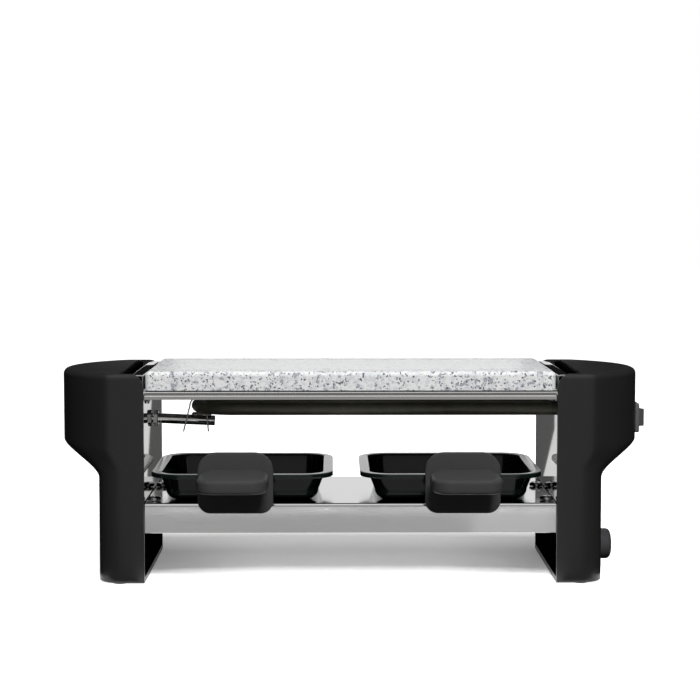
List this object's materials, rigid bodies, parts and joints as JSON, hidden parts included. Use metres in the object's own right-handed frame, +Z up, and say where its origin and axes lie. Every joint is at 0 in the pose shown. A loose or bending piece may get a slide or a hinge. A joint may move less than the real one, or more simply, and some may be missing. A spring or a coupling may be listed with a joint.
{
  "type": "raclette grill",
  "caption": "Small raclette grill: stone plate over a hairpin heating element, pans with handles on a steel tray between bowed end housings with a rocker switch.",
  "frame": {"origin": "middle of the bounding box's underside, on the surface that the feet stand on", "axes": "+X to the end with the switch, +Y to the back, away from the pan handles, +Z up"},
  "size_m": [0.308, 0.148, 0.1089],
  "materials": {
    "housing_plastic": "fine moulded texture",
    "cover_plastic": "plain black",
    "handle_plastic": "fine moulded texture",
    "polished_steel": "bright polished stainless steel",
    "tray_steel": "bright rolled stainless steel",
    "granite": "speckled, honed",
    "element_sheath": "dark oxidised sheath",
    "pan_coating": "glossy non-stick coating",
    "switch_plastic": "satin",
    "rocker_plastic": "satin",
    "gland_plastic": "satin",
    "foot_rubber": "matt",
    "brass": "plain",
    "ceramic": "unglazed",
    "brown_sleeve": "wire insulation",
    "blue_sleeve": "wire insulation",
    "green_sleeve": "wire insulation",
    "tinned_wire": "tinned copper",
    "zinc_steel": "bright zinc plating"
  },
  "bodies": {
    "base": {"back_element_bushing": "brass", "back_element_pin": "zinc_steel", "back_rail": "polished_steel", "back_switch_terminal": "brass", "cord_gland": "gland_plastic", "earth_screw": "brass", "earth_wire": "green_sleeve", "element_clip": "zinc_steel", "element_rod": "polished_steel", "element_saddle": "element_sheath", "front_element_bushing": "brass", "front_element_pin": "zinc_steel", "front_rail": "polished_steel", "front_switch_terminal": "brass", "fuse_lead": "tinned_wire", "gland_lock_nut": "gland_plastic", "heating_element": "element_sheath", "inner_rod_nut": "zinc_steel", "left_back_cover_screw": "zinc_steel", "left_back_foot": "foot_rubber", "left_back_plate_screw": "zinc_steel", "left_back_tray_screw": "zinc_steel", "left_front_cover_screw": "zinc_steel", "left_front_foot": "foot_rubber", "left_front_plate_screw": "zinc_steel", "left_front_tray_screw": "zinc_steel", "left_housing": "housing_plastic", "left_inner_cover": "cover_plastic", "left_side_plate": "polished_steel", "neutral_wire": "blue_sleeve", "outer_rod_nut": "zinc_steel", "right_back_cover_screw": "zinc_steel", "right_back_foot": "foot_rubber", "right_back_plate_screw": "zinc_steel", "right_back_tray_screw": "zinc_steel", "right_front_cover_screw": "zinc_steel", "right_front_foot": "foot_rubber", "right_front_plate_screw": "zinc_steel", "right_front_tray_screw": "zinc_steel", "right_housing": "housing_plastic", "right_inner_cover": "cover_plastic", "right_side_plate": "polished_steel", "supply_wire": "brown_sleeve", "switch_body": "switch_plastic", "switched_wire": "brown_sleeve", "terminal_block": "ceramic", "thermal_fuse": "tinned_wire", "tray": "tray_steel"},
    "stone": {"stone_plate": "granite"},
    "left_pan_unit": {"left_pan": "pan_coating", "left_pan_handle": "handle_plastic", "left_pan_tang": "zinc_steel", "left_handle_screw": "zinc_steel"},
    "right_pan_unit": {"right_pan": "pan_coating", "right_pan_handle": "handle_plastic", "right_pan_tang": "zinc_steel", "right_handle_screw": "zinc_steel"},
    "rocker": {"switch_rocker": "rocker_plastic"}
  },
  "joints": [
    {"name": "stone_lift", "type": "slide", "parent": "base", "child": "stone", "axis": [0, 0, 1], "range_m": [0, 0.06]},
    {"name": "left_pan_slide", "type": "slide", "parent": "base", "child": "left_pan_unit", "axis": [0, -1, 0], "range_m": [0, 0.14]},
    {"name": "right_pan_slide", "type": "slide", "parent": "base", "child": "right_pan_unit", "axis": [0, -1, 0], "range_m": [0, 0.14]},
    {"name": "switch_rock", "type": "hinge", "parent": "base", "child": "rocker", "pos_m": [0.14933, 0.024, 0.0812], "axis": [0, 0, 1], "range_deg": [-24, 0]}
  ]
}
